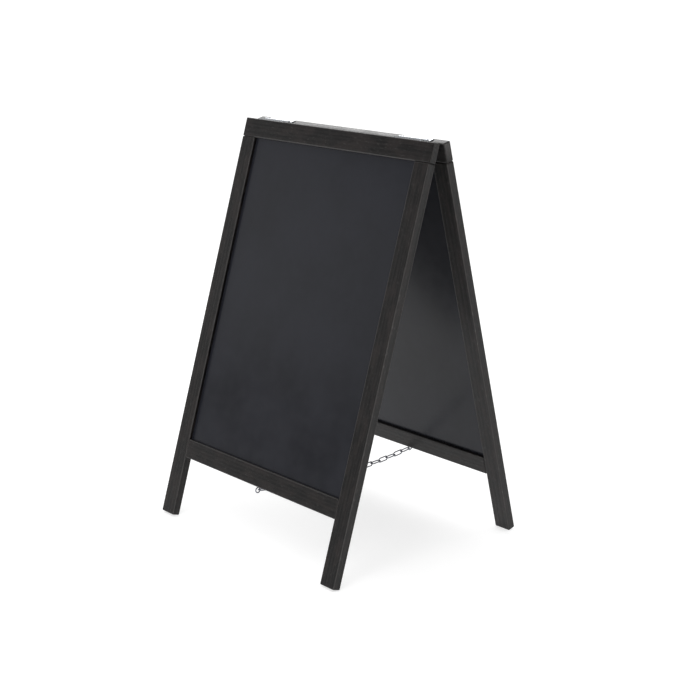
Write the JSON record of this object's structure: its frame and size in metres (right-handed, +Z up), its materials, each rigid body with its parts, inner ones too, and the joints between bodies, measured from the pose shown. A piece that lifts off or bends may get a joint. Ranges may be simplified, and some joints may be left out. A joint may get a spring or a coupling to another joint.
{
  "type": "sandwich board",
  "caption": "Folding A-frame chalkboard: two black wooden leaves with let-in boards, hinged at the ridge and stopped by a chain between the bottom rails.",
  "frame": {"origin": "on the ground, under the middle of the ridge, midway between the front and rear feet", "axes": "+Z up, +X along the ridge to the right as seen from the front, +Y from the front leaf towards the rear leaf"},
  "size_m": [0.55, 0.505, 0.8229],
  "materials": {
    "black_stained_pine": "black stain and matt lacquer, fine grain",
    "blackboard": "smooth satin black writing face",
    "beech_dowel": "plain beech",
    "zinc_steel": "bright zinc plate",
    "chain_steel": "bright zinc-plated wire"
  },
  "bodies": {
    "front_leaf": {"front_stile_left": "black_stained_pine", "front_stile_right": "black_stained_pine", "front_top_rail": "black_stained_pine", "front_bottom_rail": "black_stained_pine", "front_chalkboard": "blackboard", "front_top_dowel_left": "beech_dowel", "front_bottom_dowel_left": "beech_dowel", "front_top_dowel_right": "beech_dowel", "front_bottom_dowel_right": "beech_dowel", "front_screw_eye": "zinc_steel", "hinge_left_front_plate": "zinc_steel", "hinge_left_front_screw_1": "zinc_steel", "hinge_left_front_screw_2": "zinc_steel", "hinge_left_front_screw_3": "zinc_steel", "hinge_right_front_plate": "zinc_steel", "hinge_right_front_screw_1": "zinc_steel", "hinge_right_front_screw_2": "zinc_steel", "hinge_right_front_screw_3": "zinc_steel", "hinge_left_pin": "zinc_steel", "hinge_right_pin": "zinc_steel"},
    "rear_leaf": {"rear_stile_right": "black_stained_pine", "rear_stile_left": "black_stained_pine", "rear_top_rail": "black_stained_pine", "rear_bottom_rail": "black_stained_pine", "rear_chalkboard": "blackboard", "rear_top_dowel_right": "beech_dowel", "rear_bottom_dowel_right": "beech_dowel", "rear_top_dowel_left": "beech_dowel", "rear_bottom_dowel_left": "beech_dowel", "rear_screw_eye": "zinc_steel", "hinge_right_rear_plate": "zinc_steel", "hinge_right_rear_screw_3": "zinc_steel", "hinge_right_rear_screw_2": "zinc_steel", "hinge_right_rear_screw_1": "zinc_steel", "hinge_left_rear_plate": "zinc_steel", "hinge_left_rear_screw_3": "zinc_steel", "hinge_left_rear_screw_2": "zinc_steel", "hinge_left_rear_screw_1": "zinc_steel"},
    "chain_link_01": {"chain_link_01": "chain_steel"},
    "chain_link_02": {"chain_link_02": "chain_steel"},
    "chain_link_03": {"chain_link_03": "chain_steel"},
    "chain_link_04": {"chain_link_04": "chain_steel"},
    "chain_link_05": {"chain_link_05": "chain_steel"},
    "chain_link_06": {"chain_link_06": "chain_steel"},
    "chain_link_07": {"chain_link_07": "chain_steel"},
    "chain_link_08": {"chain_link_08": "chain_steel"},
    "chain_link_09": {"chain_link_09": "chain_steel"},
    "chain_link_10": {"chain_link_10": "chain_steel"},
    "chain_link_11": {"chain_link_11": "chain_steel"},
    "chain_link_12": {"chain_link_12": "chain_steel"},
    "chain_link_13": {"chain_link_13": "chain_steel"},
    "chain_link_14": {"chain_link_14": "chain_steel"},
    "chain_link_15": {"chain_link_15": "chain_steel"},
    "chain_link_16": {"chain_link_16": "chain_steel"},
    "chain_link_17": {"chain_link_17": "chain_steel"},
    "chain_link_18": {"chain_link_18": "chain_steel"},
    "chain_link_19": {"chain_link_19": "chain_steel"}
  },
  "joints": [
    {"name": "fold", "type": "hinge", "parent": "front_leaf", "child": "rear_leaf", "pos_m": [0, 0, 0.8197], "axis": [1, 0, 0], "range_deg": [-31.59, 0]},
    {"name": "chain_pivot_01", "type": "hinge", "parent": "front_leaf", "child": "chain_link_01", "pos_m": [0, -0.21211, 0.11627], "axis": [1, 0, 0], "range_deg": [-65.08, 0]},
    {"name": "chain_pivot_02", "type": "hinge", "parent": "chain_link_01", "child": "chain_link_02", "pos_m": [0, -0.18511, 0.11259], "axis": [1, 0, 0], "range_deg": [-10.79, 0]},
    {"name": "chain_pivot_03", "type": "hinge", "parent": "chain_link_02", "child": "chain_link_03", "pos_m": [0, -0.16605, 0.1103], "axis": [1, 0, 0], "range_deg": [-10.46, 0]},
    {"name": "chain_pivot_04", "type": "hinge", "parent": "chain_link_03", "child": "chain_link_04", "pos_m": [0, -0.14138, 0.1077], "axis": [1, 0, 0], "range_deg": [-10.33, 0]},
    {"name": "chain_pivot_05", "type": "hinge", "parent": "chain_link_04", "child": "chain_link_05", "pos_m": [0, -0.12226, 0.10598], "axis": [1, 0, 0], "range_deg": [-63.19, 0]},
    {"name": "chain_pivot_06", "type": "hinge", "parent": "chain_link_05", "child": "chain_link_06", "pos_m": [0, -0.09753, 0.10412], "axis": [1, 0, 0], "range_deg": [-20.08, 0]},
    {"name": "chain_pivot_07", "type": "hinge", "parent": "chain_link_06", "child": "chain_link_07", "pos_m": [0, -0.07836, 0.10297], "axis": [1, 0, 0], "range_deg": [0, 7.07]},
    {"name": "chain_pivot_08", "type": "hinge", "parent": "chain_link_07", "child": "chain_link_08", "pos_m": [0, -0.05359, 0.10186], "axis": [1, 0, 0], "range_deg": [-6.78, 0]},
    {"name": "chain_pivot_09", "type": "hinge", "parent": "chain_link_08", "child": "chain_link_09", "pos_m": [0, -0.0344, 0.10129], "axis": [1, 0, 0], "range_deg": [0, 2.73]},
    {"name": "chain_pivot_10", "type": "hinge", "parent": "chain_link_09", "child": "chain_link_10", "pos_m": [0, -0.0096, 0.10091], "axis": [1, 0, 0], "range_deg": [0, 135.43]},
    {"name": "chain_pivot_11", "type": "hinge", "parent": "chain_link_10", "child": "chain_link_11", "pos_m": [0, 0.0096, 0.10091], "axis": [1, 0, 0], "range_deg": [0, 43.37]},
    {"name": "chain_pivot_12", "type": "hinge", "parent": "chain_link_11", "child": "chain_link_12", "pos_m": [0, 0.0344, 0.10129], "axis": [1, 0, 0], "range_deg": [-6.84, 0]},
    {"name": "chain_pivot_19", "type": "hinge", "parent": "rear_leaf", "child": "chain_link_19", "pos_m": [0, 0.21211, 0.11627], "axis": [1, 0, 0], "range_deg": [0, 119.1]},
    {"name": "chain_pivot_18", "type": "hinge", "parent": "chain_link_19", "child": "chain_link_18", "pos_m": [0, 0.18511, 0.11259], "axis": [1, 0, 0], "range_deg": [-6.3, 0]},
    {"name": "chain_pivot_17", "type": "hinge", "parent": "chain_link_18", "child": "chain_link_17", "pos_m": [0, 0.16605, 0.1103], "axis": [1, 0, 0], "range_deg": [-6.28, 0]},
    {"name": "chain_pivot_16", "type": "hinge", "parent": "chain_link_17", "child": "chain_link_16", "pos_m": [0, 0.14138, 0.1077], "axis": [1, 0, 0], "range_deg": [-5.24, 0]},
    {"name": "chain_pivot_15", "type": "hinge", "parent": "chain_link_16", "child": "chain_link_15", "pos_m": [0, 0.12226, 0.10598], "axis": [1, 0, 0], "range_deg": [-41.95, 0]},
    {"name": "chain_pivot_14", "type": "hinge", "parent": "chain_link_15", "child": "chain_link_14", "pos_m": [0, 0.09753, 0.10412], "axis": [1, 0, 0], "range_deg": [-34.39, 0]},
    {"name": "chain_pivot_13", "type": "hinge", "parent": "chain_link_14", "child": "chain_link_13", "pos_m": [0, 0.07836, 0.10297], "axis": [1, 0, 0], "range_deg": [0, 6.84]}
  ],
  "couplings": [
    {"joint": "chain_pivot_01", "follows": "fold", "ratio": 2.0592},
    {"joint": "chain_pivot_02", "follows": "fold", "ratio": 0.34096},
    {"joint": "chain_pivot_03", "follows": "fold", "ratio": 0.33065},
    {"joint": "chain_pivot_04", "follows": "fold", "ratio": 0.32633},
    {"joint": "chain_pivot_05", "follows": "fold", "ratio": 1.9994},
    {"joint": "chain_pivot_06", "follows": "fold", "ratio": 0.63497},
    {"joint": "chain_pivot_07", "follows": "fold", "ratio": -0.22314},
    {"joint": "chain_pivot_08", "follows": "fold", "ratio": 0.21427},
    {"joint": "chain_pivot_09", "follows": "fold", "ratio": -0.08583},
    {"joint": "chain_pivot_10", "follows": "fold", "ratio": -4.2862},
    {"joint": "chain_pivot_11", "follows": "fold", "ratio": -1.3721},
    {"joint": "chain_pivot_12", "follows": "fold", "ratio": 0.21596},
    {"joint": "chain_pivot_19", "follows": "fold", "ratio": -3.7692},
    {"joint": "chain_pivot_18", "follows": "fold", "ratio": 0.19895},
    {"joint": "chain_pivot_17", "follows": "fold", "ratio": 0.19845},
    {"joint": "chain_pivot_16", "follows": "fold", "ratio": 0.16544},
    {"joint": "chain_pivot_15", "follows": "fold", "ratio": 1.3274},
    {"joint": "chain_pivot_14", "follows": "fold", "ratio": 1.0878},
    {"joint": "chain_pivot_13", "follows": "fold", "ratio": -0.21596}
  ]
}
